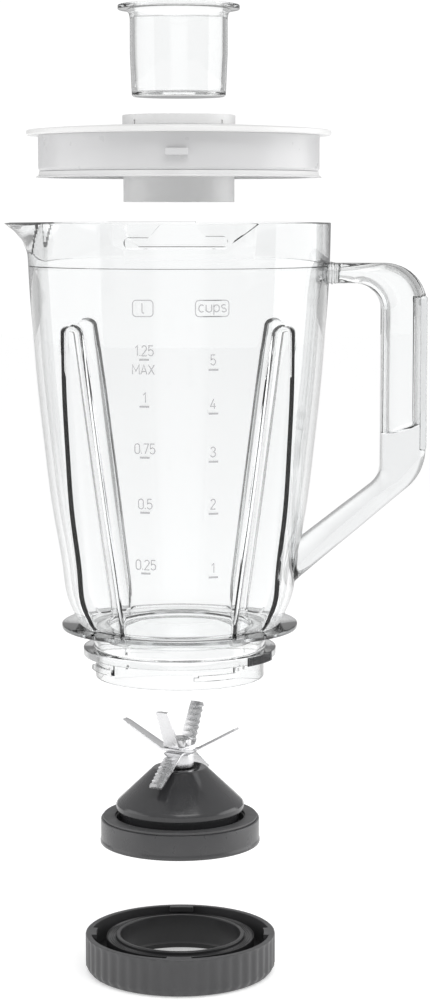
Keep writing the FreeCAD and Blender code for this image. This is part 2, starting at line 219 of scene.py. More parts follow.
# the rim's first three rows and the foot's last three belong to the outside of the wall
first_outside = len(profile) - len(outside) - 3
jug_columns = 360
flute_low, flute_high = (176.0, 64.3, 18.6), (317.0, 76.4, 9.1)
flute_wall, flute_head = 2.8, 4.6
spout_z = [350.0, 352.5, 355.0, 359.5, 363.5, 366.2, rim]
spout_tip = [72.3, 72.6, 73.3, 75.8, 79.2, 82.9, 84.8]
spout_fold = [18.0, 19.5, 21.0, 23.5, 26.0, 27.5, 28.6]


def flute_at(z, grow):
    """Distance from the axis and radius of a flute's round tool at a height."""
    (z0, c0, r0), (z1, c1, r1) = flute_low, flute_high
    t = min((z - z0) / (z1 - z0), 1.0)
    c = c0 + (c1 - c0) * t
    r = r0 + (r1 - r0) * t + grow
    if z > z1:
        r *= math.sqrt(max(1 - ((z - z1) / (flute_head + grow)) ** 2, 0.0))
    return c, r


def jug_row(k):
    """One ring of the wall, closer where a flute cuts in, drawn out towards the spout near the rim."""
    (radius, z) = profile[k]
    outer = k >= first_outside or k < 3
    c, r = flute_at(z, 0.0 if outer else flute_wall)
    edge = math.radians(6.0)
    if r > 0:
        cosine = (c * c + radius * radius - r * r) / (2 * c * radius)
        edge = max(math.acos(max(min(cosine, 1.0), -1.0)), edge)
    quarter = math.pi / 2
    within = np.linspace(-edge, edge, 29)
    between = np.linspace(edge, quarter - edge, 63)[1:-1]
    part = np.concatenate([within, between])
    angles = np.concatenate([math.pi / 4 + k4 * quarter + part for k4 in range(4)])
    radii = np.full(jug_columns, float(radius))
    if z > (174.5 if outer else 174.2) and r > 0:
        off = (angles % quarter) - math.pi / 4
        inside_ray = (r * r - (c * np.sin(off)) ** 2)
        near = c * np.cos(off) - np.sqrt(np.clip(inside_ray, 0, None))
        cut = np.where(inside_ray > 0, near, 1e3)
        soft = 0.4
        h = np.clip(0.5 + 0.5 * (cut - radii) / soft, 0, 1)
        radii = cut * (1 - h) + radii * h - soft * h * (1 - h)
    if z > 350.0 and radius > 60:
        tip = np.interp(z, spout_z, spout_tip) - (0.0 if outer else 2.8)
        fold = math.radians(np.interp(z, spout_z, spout_fold))
        if tip > radius + 0.05:
            off = np.sqrt((angles % (2 * math.pi) - math.pi) ** 2 + 0.015 ** 2)
            share = np.clip(1 - off / fold, 0, 1)
            radii = radii + (tip - radius) * (0.22 * share + 0.78 * share ** 2.1)
    return [(rr * math.cos(a) * MM, rr * math.sin(a) * MM, z * MM) for rr, a in zip(radii, angles)]


def lathe_faces(rows, count, closed=True):
    """Quads between rows of the same number of points."""
    faces = []
    for k in range(rows if closed else rows - 1):
        below = k * count
        above = ((k + 1) % rows) * count
        for j in range(count):
            i = (j + 1) % count
            faces.append((below + j, above + j, above + i, below + i))
    return faces


def outward(piece, sharp_deg=35):
    """Merge doubled points, turn every face outwards and shade softly up to a limit angle."""
    bm = bmesh.new()
    bm.from_mesh(piece.data)
    bmesh.ops.remove_doubles(bm, verts=bm.verts, dist=1e-6)
    bmesh.ops.recalc_face_normals(bm, faces=bm.faces)
    if bm.calc_volume(signed=True) < 0:
        bmesh.ops.reverse_faces(bm, faces=bm.faces)
    bm.to_mesh(piece.data)
    bm.free()
    piece.data.polygons.foreach_set("use_smooth", [True] * len(piece.data.polygons))
    piece.data.set_sharp_from_angle(angle=math.radians(sharp_deg))


def combine(piece, tool, how):
    """Cut a tool out of a piece, or fuse it on, and leave a plain mesh."""
    step = piece.modifiers.new(how.lower(), "BOOLEAN")
    step.operation = how
    step.solver = "EXACT"
    step.object = tool
    done = bpy.data.meshes.new_from_object(piece.evaluated_get(bpy.context.evaluated_depsgraph_get()))
    piece.modifiers.remove(step)
    piece.data = done
    bpy.data.objects.remove(tool)


verts = []
for k in range(len(profile)):
    verts += jug_row(k)
jug = add_mesh("jug", verts, lathe_faces(len(profile), jug_columns))
outward(jug)

# the track starts as a flat outline, is sliced into narrow strips and then bent round the rim
slot_low, slot_high, slot_r = 356.6, 361.2, 70.5
slot_end = 19.8
bend_round = 70.0


def arc_mm(deg):
    return bend_round * math.radians(deg)


half = (slot_high - slot_low) / 2
outline = [(arc_mm(-slot_end) + half - half * math.sin(math.radians(d)),
            slot_low + half - half * math.cos(math.radians(d))) for d in range(0, 181, 15)]
outline += [(arc_mm(-10.5), slot_high), (arc_mm(-5.1), rim + 0.9), (arc_mm(-5.1), rim + 3),
            (arc_mm(33.0), rim + 3), (arc_mm(33.0), rim + 0.9), (arc_mm(18.0), slot_low)]
tracks = []
for turn in (-90, 90):
    bm = bmesh.new()
    bm.faces.new([bm.verts.new((x, 0, z)) for x, z in outline])
    for x in np.arange(arc_mm(-slot_end) + 1.5, arc_mm(33.0), 1.5):
        bmesh.ops.bisect_plane(bm, geom=bm.verts[:] + bm.edges[:] + bm.faces[:],
                               plane_co=(x, 0, 0), plane_no=(1, 0, 0))
    pushed = bmesh.ops.extrude_face_region(bm, geom=bm.faces[:])["geom"]
    for v in pushed:
        if isinstance(v, bmesh.types.BMVert):
            v.co.y = 1
    for v in bm.verts:
        r = slot_r if v.co.y < 0.5 else 68.3
        if r < 69 and slot_low - 1 < v.co.z < slot_high + 1:
            v.co.z += 0.6 if v.co.z > (slot_low + slot_high) / 2 else -0.6
        a = math.radians(turn) + v.co.x / bend_round
        v.co = Vector((r * math.cos(a), r * math.sin(a), v.co.z)) * MM
    # faces across the track's depth take the second material: painted shade on the track walls
    for face in bm.faces:
        face.material_index = int(len({round(v.co.xy.length, 5) for v in face.verts}) == 2)
    mesh = bpy.data.meshes.new("track")
    bm.to_mesh(mesh)
    bm.free()
    tracks.append(mesh)


def sector(r_out, r_in, z0, z1, start, sweep, steps=24):
    """Corner points and faces of a closed piece of a ring."""
    points, sides = [], []
    for k in range(steps + 1):
        a = math.radians(start + sweep * k / steps)
        for r, z in ((r_in, z0), (r_out, z0), (r_out, z1), (r_in, z1)):
            points.append((r * math.cos(a) * MM, r * math.sin(a) * MM, z * MM))
    for k in range(steps):
        for j in range(4):
            sides.append((4 * k + j, 4 * k + (j + 1) % 4, 4 * k + 4 + (j + 1) % 4, 4 * k + 4 + j))
    sides.append((0, 3, 2, 1))
    sides.append(tuple(4 * steps + j for j in range(4)))
    return points, sides


def joined(blocks):
    """Points and faces of several closed blocks in one list each."""
    points, sides = [], []
    for block_points, block_sides in blocks:
        sides += [tuple(i + len(points) for i in face) for face in block_sides]
        points += block_points
    return points, sides


def gather(name, blocks):
    """One mesh from several closed blocks."""
    piece = add_mesh(name, *joined(blocks))
    outward(piece)
    return piece


def stair(start, long):
    """Collar ramp: a low lead-in, the level run, and an end stop up to the flange."""
    angles = [start, start + 3, start + long, start + long + 2.5]
    blocks = []
    for a, b, top in zip(angles, angles[1:], (154.4, 155.2, 159.2)):
        blocks.append(sector(43.3, 40.4, 152.6, top, a - 0.02, b - a + 0.04, 12))
    return blocks


for mesh in tracks:
    tool = bpy.data.objects.new("track", mesh)
    scene.collection.objects.link(tool)
    outward(tool)
    combine(jug, tool, "DIFFERENCE")
for level in range(3):
    steps = [stair(280 + 90 * k, 29)[level] for k in range(4)]
    combine(jug, gather("ramps", steps), "UNION")
outward(jug, 38)


def object_noise(tree, scale, detail, stretch=(1, 1, 1), turn=0.0):
    """Noise in the piece's own coordinates."""
    spread = node(tree, "ShaderNodeMapping", {"Vector": node(tree, "ShaderNodeTexCoord").outputs["Object"],
                                              "Scale": stretch, "Rotation": (0, 0, turn)})
    noise = node(tree, "ShaderNodeTexNoise", {"Vector": spread.outputs[0], "Scale": scale, "Detail": detail})
    return noise.outputs["Fac"]


def vary(tree, factor, low, high, first=0.3, last=0.7):
    """Numbers from low to high as a factor goes from first to last."""
    return node(tree, "ShaderNodeMapRange", {"Value": factor, "From Min": first, "From Max": last,
                                             "To Min": low, "To Max": high}).outputs[0]


def relief(tree, pattern, strength, distance):
    """Fine unevenness that only the light shows."""
    return node(tree, "ShaderNodeBump", {"Strength": strength, "Distance": distance,
                                         "Height": pattern}).outputs[0]


def clear_plastic(name, density, tint=(0.985, 0.99, 0.99), painted_edge_shade=0.22, painted_edge_start=0.70):
    """Clear gloss plastic: faint rubbing marks in its gloss, grey that builds up with thickness, and painted
    shade: its colour darkens towards grazing edges into dark outlines.
    """
    mat, tree, body = material(name)
    # painted shade: the colour turns dark grey where the surface turns away from view
    edge = node(tree, "ShaderNodeLayerWeight", {"Blend": 0.5}).outputs["Facing"]
    dark = [c * painted_edge_shade for c in tint]
    feed(tree, body, {"Base Color": ramp(tree, edge, (painted_edge_start, tint), (0.97, dark), "EASE"),
                      "IOR": 1.5, "Transmission Weight": 1.0,
                      "Roughness": vary(tree, object_noise(tree, 55, 6), 0.0, 0.012),
                      "Normal": relief(tree, object_noise(tree, 25, 0), 0.1, 0.00001)})
    soak = node(tree, "ShaderNodeVolumeAbsorption", {"Color": (0.55, 0.57, 0.58, 1), "Density": density})
    feed(tree, tree.nodes["Material Output"], {"Volume": soak.outputs[0]})
    return mat


def place(piece, mat, body, slot, *nodes):
    """Give a finished piece its material and body, and stand it in for its solids; the slot is not used."""
    if mat is not None:
        piece.data.materials.clear()
        piece.data.materials.append(mat)
    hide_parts(*nodes)
    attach(piece, body)


# Painted shade: the jug's edges darken into grey outlines, and the track material is clear plastic tinted near
# black
jug_plastic = clear_plastic("jug_plastic", 18.0, painted_edge_shade=0.08, painted_edge_start=0.62)
painted_shade_plastic = clear_plastic("track_painted_shade", 18.0, (0.10, 0.10, 0.105))
place(jug, jug_plastic, "jug", "clear_plastic", "jug_body")
jug.data.materials.append(painted_shade_plastic)
# Painted shade: the track walls, the spout's lip and the crease beside the spout take the near-black track
# material as dark lines
track_inner, track_outer, track_foot = 0.0682, 0.0706, 0.3555
band_outer, band_foot, lip_top, lip_half, crease_half = 0.071, 0.353, 0.3668, 27, 1.1
for face in jug.data.polygons:
    x, y, z = face.center
    radial = Vector((x, y, 0))
    off = math.degrees(math.pi - abs(math.atan2(y, x)))
    crease = np.interp(z * 1000, spout_z, spout_fold) - 2.0
    sideways = abs(face.normal.dot(radial.normalized())) < 0.9
    track_wall = track_inner < radial.length < track_outer and track_foot < z < 0.367 and sideways
    spout_lip = z > lip_top and off < lip_half
    spout_crease = z > band_foot and abs(off - crease) < crease_half and radial.length > band_outer
    if track_wall or spout_lip or spout_crease:
        face.material_index = 1


# ---- Grip ribs on the collar --------------------------------------------------------------------
# A short block of upright ribs on the edge of the collar flange, right of the front. It is moulded
# with the jug and marks where the lock ring stops.
def node_tree(name, **sizes):
    """Empty Geometry Nodes tree with one named input for each size: the tree, those sizes, and its end."""
    tree = bpy.data.node_groups.new(name, "GeometryNodeTree")
    sockets = tree.interface
    sockets.new_socket("Geometry", in_out="INPUT", socket_type="NodeSocketGeometry")
    for label, value in sizes.items():
        kind = "NodeSocketInt" if isinstance(value, int) else "NodeSocketFloat"
        sockets.new_socket(label, in_out="INPUT", socket_type=kind)
    sockets.new_socket("Geometry", in_out="OUTPUT", socket_type="NodeSocketGeometry")
    return tree, tree.nodes.new("NodeGroupInput").outputs, tree.nodes.new("NodeGroupOutput")


def maths(tree, how, a, b=0.5):
    """Result of one sum on two numbers or sockets."""
    return node(tree, "ShaderNodeMath", {0: a, 1: b}, operation=how).outputs[0]


def vector(tree, **parts):
    """Vector from single numbers or sockets."""
    return node(tree, "ShaderNodeCombineXYZ", parts).outputs[0]


def combined(tree, *shapes):
    """All the given shapes together."""
    both = node(tree, "GeometryNodeJoinGeometry")
    for shape in shapes:
        tree.links.new(shape, both.inputs[0])
    return both.outputs[0]


def close_tree(tree, end, geometry, mat):
    """Last two steps of every tree: real meshes, then the material."""
    real = node(tree, "GeometryNodeRealizeInstances", {0: geometry})
    painted = node(tree, "GeometryNodeSetMaterial", {0: real.outputs[0], "Material": mat})
    tree.links.new(painted.outputs[0], end.inputs[0])


def grow(piece, tree, sharp_deg=35, **sizes):
    """Run a tree on a piece with the given sizes and keep the result as its plain mesh."""
    step = piece.modifiers.new(tree.name, "NODES")
    step.node_group = tree
    for item in tree.interface.items_tree:
        if item.in_out == "INPUT" and item.name in sizes:
            step[item.identifier] = sizes[item.name]
    made = bpy.data.meshes.new_from_object(piece.evaluated_get(bpy.context.evaluated_depsgraph_get()))
    piece.modifiers.remove(step)
    piece.data = made
    outward(piece, sharp_deg)


# Painted shade: the tab's clear plastic is tinted and thickened to near black for the dark look of its ribs
tab_painted_shade = clear_plastic("tab_painted_shade", 400.0, (0.20, 0.20, 0.205))
plate = gather("index_tab_plate", [sector(47.2, 47.0, 158.4, 162.5, -46, 25, 20)])
tree, sizes, end = node_tree("grip_ribs", ribs=10, radius=1.0, first=0.0, last=1.0, rib=1.0, height=1.0,
                             middle=1.0)
steps = node(tree, "GeometryNodeMeshLine", {"Count": sizes["ribs"]})
number = node(tree, "GeometryNodeInputIndex").outputs[0]
along = maths(tree, "DIVIDE", number, maths(tree, "SUBTRACT", sizes["ribs"], 1.0))
angle = vary(tree, along, sizes["first"], sizes["last"], 0.0, 1.0)
spot = node(tree, "ShaderNodeVectorRotate", {"Vector": vector(tree, X=sizes["radius"]), "Angle": angle})
lift = node(tree, "ShaderNodeVectorMath", {0: spot.outputs[0], 1: vector(tree, Z=sizes["middle"])},
            operation="ADD")
moved = node(tree, "GeometryNodeSetPosition", {0: steps.outputs[0], "Position": lift.outputs[0]})
bar = node(tree, "GeometryNodeMeshCylinder", {"Vertices": 12, "Radius": sizes["rib"],
                                              "Depth": sizes["height"]})
ribs = node(tree, "GeometryNodeInstanceOnPoints", {0: moved.outputs[0], "Instance": bar.outputs[0],
                                                   "Rotation": vector(tree, Z=angle)})
close_tree(tree, end, combined(tree, sizes["Geometry"], ribs.outputs[0]), tab_painted_shade)
grow(plate, tree, ribs=12, radius=0.0474, first=math.radians(-45.5), last=math.radians(-21.5), rib=0.0005,
     height=0.0041, middle=0.16045)
place(plate, None, "jug", "clear_tab", "index_tab")


# ---- Handle --------------------------------------------------------------------------------------
# A clear moulded loop from the shoulder to the lower wall, with soft edges. Its upright grip is
# hollow, and a clear strip snapped into its outside closes the hollow.
def rounded_run(corners, radii, straight=10, bend=14):
    """(x, z) points along straight runs joined by arcs, the same number for every run."""
    corners = [Vector(c) for c in corners]
    ends = [corners[0]]
    arcs = []
    for p, q, s, radius in zip(corners, corners[1:], corners[2:], radii):
        one, two = (p - q).normalized(), (s - q).normalized()
        half_angle = one.angle(two) / 2
        middle = q + (one + two).normalized() * (radius / math.sin(half_angle))
        reach = radius / math.tan(half_angle)
        a, b = q + one * reach, q + two * reach
        arc = []
        for k in range(bend + 1):
            t = k / bend
            ray = ((a - middle) * (1 - t) + (b - middle) * t).normalized()
            arc.append(middle + ray * radius)
        arcs.append(arc)
        ends += [a, b]
    ends.append(corners[-1])
    points = []
    for k in range(0, len(ends), 2):
        points += [ends[k].lerp(ends[k + 1], j / straight) for j in range(straight + 1)]
        if k // 2 < len(arcs):
            points += arcs[k // 2][1:-1]
    return points


def loft(name, rings, sharp_deg=35):
    """Closed skin over rings of the same number of points, in millimetres."""
    count = len(rings[0])
    points = [tuple(c * MM for c in p) for ring in rings for p in ring]
    sides = lathe_faces(len(rings), count, closed=False)
    sides += [tuple(range(count)), tuple(range((len(rings) - 1) * count, len(rings) * count))]
    piece = add_mesh(name, points, sides)
    outward(piece, sharp_deg)
    return piece


def soft_box(half_a, half_b, radius):
    """Outline of a rectangle with rounded corners, seven points to a corner."""
    points = []
    for sa, sb, first in ((1, 1, 0), (-1, 1, 90), (-1, -1, 180), (1, -1, 270)):
        for deg in range(first, first + 91, 15):
            a = math.radians(deg)
            points.append((sa * (half_a - radius) + radius * math.cos(a),
                           sb * (half_b - radius) + radius * math.sin(a)))
    return points


grip_out, grip_in, arm_top, arm_foot = 118.7, 97.0, 348.5, 338.9
handle_half, handle_soft = 11.0, 7.0
outer_run = rounded_run([(75.0, arm_top), (grip_out, arm_top), (grip_out, 248.0), (52.5, 192.3)], (20, 24))
inner_run = rounded_run([(75.0, arm_foot), (grip_in, arm_foot), (grip_in, 245.4), (56.6, 214.2)], (13, 12))
wall_z, wall_r = zip(*outer_knots)
sunk = 1.6
# two shallow steps where the handle's socket meets the wall: place outwards, and size there
socket = [(69.0, 1.0), (72.6, 1.0), (72.8, 1.1), (73.5, 1.1), (73.7, 0.93), (74.1, 0.93), (74.3, 1.04),
          (74.7, 1.04)]


def slice_of(outer, inner):
    """Middle, direction and half thickness of the loop between its outer and inner lines."""
    across = outer - inner
    return (outer + inner) / 2, across.normalized(), across.length / 2


rings = []
for size, outer, inner in ([(size, Vector((x, arm_top)), Vector((x, arm_foot))) for x, size in socket]
                           + [(1.0, *pair) for pair in zip(outer_run, inner_run)]):
    middle, across, thick = slice_of(outer, inner)
    thick *= size
    ring = []
    for a, b in soft_box(thick, handle_half * size, min(handle_soft, thick - 0.05)):
        x, z = middle + across * a
        root = math.sqrt((np.interp(z, wall_z, wall_r) - sunk) ** 2 - b * b)
        ring.append((max(x, root), b, z))
    rings.append(ring)
handle = loft("handle", rings)
hollow_rings, grip_wall, hollow_foot = [], 2.7, 268
for outer, inner in zip(outer_run, inner_run):
    middle, across, thick = slice_of(outer, inner)
    thick -= grip_wall
    if middle.y > hollow_foot and (middle.x > 76 or middle.y < 330):
        flat = [(middle + across * a, b) for a, b in soft_box(thick, 8.3, min(5.5, thick - 0.05))]
        hollow_rings.append([(p.x, b, p.y) for p, b in flat])


def closing(ring, drop):
    """Two shrinking rings that round off an end of the hollow."""
    centre = sum((Vector(p) for p in ring), Vector()) / len(ring)
    return [[tuple(centre + (Vector(p) - centre) * size + drop * share) for p in ring]
            for size, share in ((0.86, 0.6), (0.4, 1.0))]


hollow_rings = (closing(hollow_rings[0], Vector((-0.9, 0, 0)))[::-1] + hollow_rings
                + closing(hollow_rings[-1], Vector((0, 0, -1.6))))
hollow = loft("hollow", hollow_rings)
combine(handle, hollow, "DIFFERENCE")
strip_z = 296.0
recess = loft("recess", [[(x, a, b + strip_z) for a, b in soft_box(9.9, 37.1, 2.0)] for x in (115.2, 125.0)])
combine(handle, recess, "DIFFERENCE")
outward(handle, 40)
# Painted shade: the handle's edges darken strongly into grey outlines
clear_handle = clear_plastic("handle_plastic", 16.0, painted_edge_shade=0.05, painted_edge_start=0.34)
place(handle, clear_handle, "jug", "clear_handle", "jug_handle")
strip_layers = ((115.4, 0.3), (115.7, 0.0), (117.7, 0.0), (118.3, 0.25), (118.65, 0.8), (118.7, 1.6))
strip = loft("cover_strip", [[(x, a, b + strip_z) for a, b in soft_box(9.75 - cut, 36.95 - cut, 1.9)]
                             for x, cut in strip_layers])
# Painted shade: the strip's edges darken into grey outlines
strip_plastic = clear_plastic("strip_plastic", 30.0, painted_edge_shade=0.2, painted_edge_start=0.3)
place(strip, strip_plastic, "jug", "clear_strip", "handle_cover")


# ---- Printed scale ------------------------------------------------------------------------------
# Litres on the left and cups on the right of the front wall, screen printed in pale grey: a heading
# in a rounded frame, a short tick for each level, and its number.
ink, tree, body = material("print_grey")
thin = ramp(tree, object_noise(tree, 700, 4), (0, (0.40, 0.40, 0.41)), (1, (0.52, 0.52, 0.53)))
feed(tree, body, {"Base Color": thin, "Roughness": 0.55})


def on_wall(x, z, off):
    """Point on the front wall at a width and height, raised by off."""
    r = float(smooth_curve(outer_knots, [z])[0]) + off
    a = x / r
    return (r * math.sin(a), -r * math.cos(a), z)


ink_low, ink_thick = 0.03, 0.1


def printed(shape):
    """Wrap a flat thin solid (width, height, thickness) onto the wall."""
    for v in shape.data.vertices:
        x, z, up = v.co
        v.co = Vector(on_wall(x, z, ink_low + ink_thick * up)) * MM
    outward(shape, 50)


def bow(cx, cy, rx, ry, first, last):
    """Points along part of an ellipse."""
    return [(cx + rx * math.cos(math.radians(d)), cy + ry * math.sin(math.radians(d)))
            for d in np.linspace(first, last, 9)]


# each figure's width, and its lines on a height of one
stroke_half, figure_gap = 0.26, 0.17
strokes = {
    "0": (0.50, [bow(0.25, 0.75, 0.25, 0.25, 0, 180) + bow(0.25, 0.25, 0.25, 0.25, 180, 360)
                 + [(0.5, 0.75)]]),
    "1": (0.26, [[(0.0, 0.76), (0.22, 1.0), (0.22, 0.0)]]),
    "2": (0.50, [bow(0.25, 0.75, 0.24, 0.25, 165, -32) + [(0.0, 0.0), (0.5, 0.0)]]),
    "3": (0.50, [bow(0.24, 0.76, 0.23, 0.24, 160, -85), bow(0.24, 0.26, 0.26, 0.26, 88, -160)]),
    "4": (0.54, [[(0.34, 1.0), (0.0, 0.24), (0.54, 0.24)], [(0.40, 0.56), (0.40, 0.0)]]),
    "5": (0.50, [[(0.46, 1.0), (0.06, 1.0), (0.04, 0.52)] + bow(0.24, 0.31, 0.26, 0.31, 128, -155)]),
    "7": (0.50, [[(0.0, 1.0), (0.5, 1.0), (0.16, 0.0)]]),
    ".": (0.06, [[(0.03, 0.0), (0.03, 0.11)]]),
    "M": (0.72, [[(0.0, 0.0), (0.0, 1.0), (0.36, 0.32), (0.72, 1.0), (0.72, 0.0)]]),
    "A": (0.64, [[(0.0, 0.0), (0.32, 1.0), (0.64, 0.0)], [(0.12, 0.3), (0.52, 0.3)]]),
    "X": (0.60, [[(0.0, 0.0), (0.6, 1.0)], [(0.0, 1.0), (0.6, 0.0)]]),
    "l": (0.24, [[(0.06, 1.0), (0.06, 0.14), (0.11, 0.03), (0.24, 0.0)]]),
    "c": (0.40, [bow(0.22, 0.35, 0.22, 0.35, 48, 312)]),
    "u": (0.44, [[(0.0, 0.7), (0.0, 0.22)] + bow(0.22, 0.22, 0.22, 0.22, 180, 360) + [(0.44, 0.7)]]),
    "p": (0.44, [[(0.0, -0.26), (0.0, 0.7)], bow(0.22, 0.35, 0.22, 0.35, 155, -155)]),
    "s": (0.38, [bow(0.19, 0.53, 0.18, 0.17, 40, 250) + bow(0.19, 0.17, 0.19, 0.17, 70, -145)])}


def label(text, height, x, z, squeeze=1.0):
    """Figures drawn with one even stroke, centred on x and standing on z."""
    blocks, pen = [], 0.0
    for figure in text:
        wide, lines = strokes[figure]
        for line in lines:
            line = [Vector(((pen + px) * squeeze * height, py * height)) for px, py in line]
            points = []
            for k, p in enumerate(line):
                ahead = (line[min(k + 1, len(line) - 1)] - p).normalized()
                behind = (p - line[max(k - 1, 0)]).normalized()
                side = (ahead + behind).normalized().orthogonal()
                side *= stroke_half / max(side.dot((ahead if k == 0 else behind).orthogonal()), 0.5)
                points += [(p.x - side.x, p.y - side.y, 0), (p.x - side.x, p.y - side.y, 1),
                           (p.x + side.x, p.y + side.y, 1), (p.x + side.x, p.y + side.y, 0)]
            sides = lathe_faces(len(line), 4, closed=False)
            sides += [(3, 2, 1, 0), tuple(4 * len(line) - 4 + j for j in range(4))]
            blocks.append((points, sides))
        pen += wide + figure_gap
    pen = (pen - figure_gap) * squeeze * height
    points, sides = joined(blocks)
    return add_mesh("label", [(px + x - pen / 2, py + z, up) for px, py, up in points], sides)


litre_x, cup_x, heading_z = -15.1, 16.7, 329.6
litres = ((306.3, "1.25"), (284.8, "1"), (261.2, "0.75"), (235.4, "0.5"), (206.4, "0.25"))
cups = ((301.7, "5"), (281.6, "4"), (259.3, "3"), (234.9, "2"), (204.5, "1"))
shapes = [label("MAX", 4.4, litre_x - 0.4, 299.6), label("l", 4.4, litre_x - 0.5, 327.5, 1.3),
          label("cups", 4.7, cup_x - 0.4, 328.0, 1.25)]
for z, text in litres:
    shapes.append(label(text, 4.6, litre_x + 0.1, z + 1.8))
for z, text in cups:
    shapes.append(label(text, 4.6, cup_x - 0.2, z + 2.2))
for x, half_wide in ((litre_x - 0.5, 5.0), (cup_x - 0.5, 8.0)):
    points, sides = [], []
    for thick in (0.0, 1.0):
        for inset in (0.0, 0.45):
            points += [(x + a, heading_z + b, thick)
                       for a, b in soft_box(half_wide - inset, 3.9 - inset, 1.9 - inset)]
    n = len(points) // 4
    for j in range(n):
        i = (j + 1) % n
        for a, b in ((0, 1), (1, 3), (3, 2), (2, 0)):
            sides.append((a * n + j, a * n + i, b * n + i, b * n + j))
    shapes.append(add_mesh("heading_frame", points, sides))
for shape in shapes:
    printed(shape)
ticks = add_mesh("scale_ticks", [Vector(on_wall(x, z, 0.09)) * MM
                                 for x, column in ((litre_x, litres), (cup_x, cups)) for z, _ in column], [])
tree, sizes, end = node_tree("scale_ticks", length=1.0, height=1.0, thickness=1.0)
parts = node(tree, "ShaderNodeSeparateXYZ", {0: node(tree, "GeometryNodeInputPosition").outputs[0]}).outputs
facing = maths(tree, "ARCTAN2", parts["X"], maths(tree, "MULTIPLY", parts["Y"], -1.0))
size = vector(tree, X=sizes["length"], Y=sizes["thickness"], Z=sizes["height"])
bar = node(tree, "GeometryNodeMeshCube", {"Size": size})
set_out = node(tree, "GeometryNodeInstanceOnPoints", {0: sizes["Geometry"], "Instance": bar.outputs[0],
                                                      "Rotation": vector(tree, Z=facing)})
close_tree(tree, end, set_out.outputs[0], ink)
grow(ticks, tree, length=0.0046, height=0.0009, thickness=0.0001)
bm = bmesh.new()
for shape in shapes + [ticks]:
    bm.from_mesh(shape.data)
    bpy.data.objects.remove(shape)
mesh = bpy.data.meshes.new("scale")
bm.to_mesh(mesh)
bm.free()
scale_print = bpy.data.objects.new("scale", mesh)
scene.collection.objects.link(scale_print)
place(scale_print, ink, "jug", "print_grey", "volume_marks")


# ---- Lid -----------------------------------------------------------------------------------------
# A white dished cover on a pale skirt that drops inside the rim, with a lug at the front and the back
# for the bayonet tracks, a soft lip seal in a groove at its foot, and a filler tube through its middle.
def hoop(r, z, columns):
    return [(r * math.cos(2 * math.pi * k / columns), r * math.sin(2 * math.pi * k / columns), z)
            for k in range(columns)]


def spun(name, points, columns=180):
    """Solid turned about the axis from a loop of (radius, height), or from a line between two axis points."""
    flat = [tuple(c * MM for c in p) for r, z in points for p in hoop(r, z, columns)]
    piece = add_mesh(name, flat, lathe_faces(len(points), columns, closed=points[0][0] > 0))
    outward(piece)
    return piece


def loop(points, radius=0.35):
    """Closed (radius, height) loop with every corner softened."""
    return rounded([points[-1]] + points + [points[0]], radius, 3)[1:-1]


def plastic(name, colour, rough, grain, depth, mottle=0.04, gloss_range=0.06):
    """Moulded plastic: spark-worn grain, slight colour mottling and uneven gloss."""
    mat, tree, body = material(name)
    low, high = [[c * (1 + sign * mottle) for c in colour] for sign in (-1, 1)]
    wear = object_noise(tree, 130, 5)
    feed(tree, body, {"Base Color": ramp(tree, object_noise(tree, 45, 4), (0.3, low), (0.7, high)),
                      "Roughness": vary(tree, wear, rough - gloss_range, rough + gloss_range),
                      "Normal": relief(tree, object_noise(tree, 1 / grain, 2), 0.6, depth)})
    return mat


skirt_low, skirt_high = 388.9, 408.8
seal_plastic = plastic("seal_plastic", (0.70, 0.70, 0.70), 0.5, 0.0006, 0.00002)
seal = spun("lip_seal", loop([(65.05, 389.0), (68.1, 389.0), (68.2, 389.25), (66.9, 390.0), (66.6, 391.8),
                              (65.05, 391.8)], 0.12))
place(seal, seal_plastic, "seal", "pale_seal", "lid_seal")

# The skirt's pale grey is darkened below the filler tube's: painted shade for its upright faces
skirt_shaded_grey = plastic("skirt_shaded_grey", (0.60, 0.60, 0.605), 0.30, 0.0005, 0.000006, 0.012, 0.03)
skirt = spun("skirt", loop([(62.8, skirt_low), (65.0, skirt_low), (65.0, 391.9), (66.3, 391.9), (67.0, 393.2),
                            (67.0, skirt_high), (62.8, skirt_high)], 0.25))
for side in (270, 90):
    rings = []
    for r, cut in ((66.5, 0.0), (69.6, 0.0), (70.0, 0.25), (70.1, 0.6)):
        ring = []
        for a, b in soft_box(5.35 - cut, 1.6 - cut, 0.9):
            turn = math.radians(side) + a / bend_round
            ring.append((r * math.cos(turn), r * math.sin(turn), 400.0 + b))
        rings.append(ring)
    combine(skirt, loft("lug", rings), "UNION")
outward(skirt)
place(skirt, skirt_shaded_grey, "lid", "pale_grey", "lid_skirt")

white = plastic("lid_white", (0.76, 0.76, 0.755), 0.32, 0.0005, 0.000008, 0.012, 0.04)
dish_r = np.linspace(71.4, 25.0, 30)
dish = smooth_curve([(25.0, 413.6), (40.0, 413.2), (54.0, 412.55), (66.0, 411.85), (71.4, 411.4)], dish_r)
cover_loop = [(25.0, 408.8), (72.1, 408.8), (72.6, 409.3), (72.6, 410.6), (72.4, 411.1)]
cover_loop += list(zip(dish_r, dish))
cover = spun("lid_cover_top", cover_loop)
place(cover, white, "lid", "white_lid", "lid_cover")

tube_plastic = plastic("tube_plastic", (0.76, 0.76, 0.76), 0.33, 0.0005, 0.000006, 0.012, 0.03)
tube = spun("filler_tube_wall", loop([(23.7, 377.4), (26.5, 377.4), (26.5, 408.7), (25.0, 408.7),
                                      (25.0, 413.7), (26.9, 413.7), (26.9, 418.5), (25.7, 418.5),
                                      (23.7, 416.5)], 0.3))
notches = [sector(28.0, 25.9, 413.0, 415.8, deg - 1.2, 2.4, 6) for deg in (220, 320, 40, 140)]
combine(tube, gather("notches", notches), "DIFFERENCE")
outward(tube)
place(tube, tube_plastic, "lid", "pale_grey", "filler_tube")


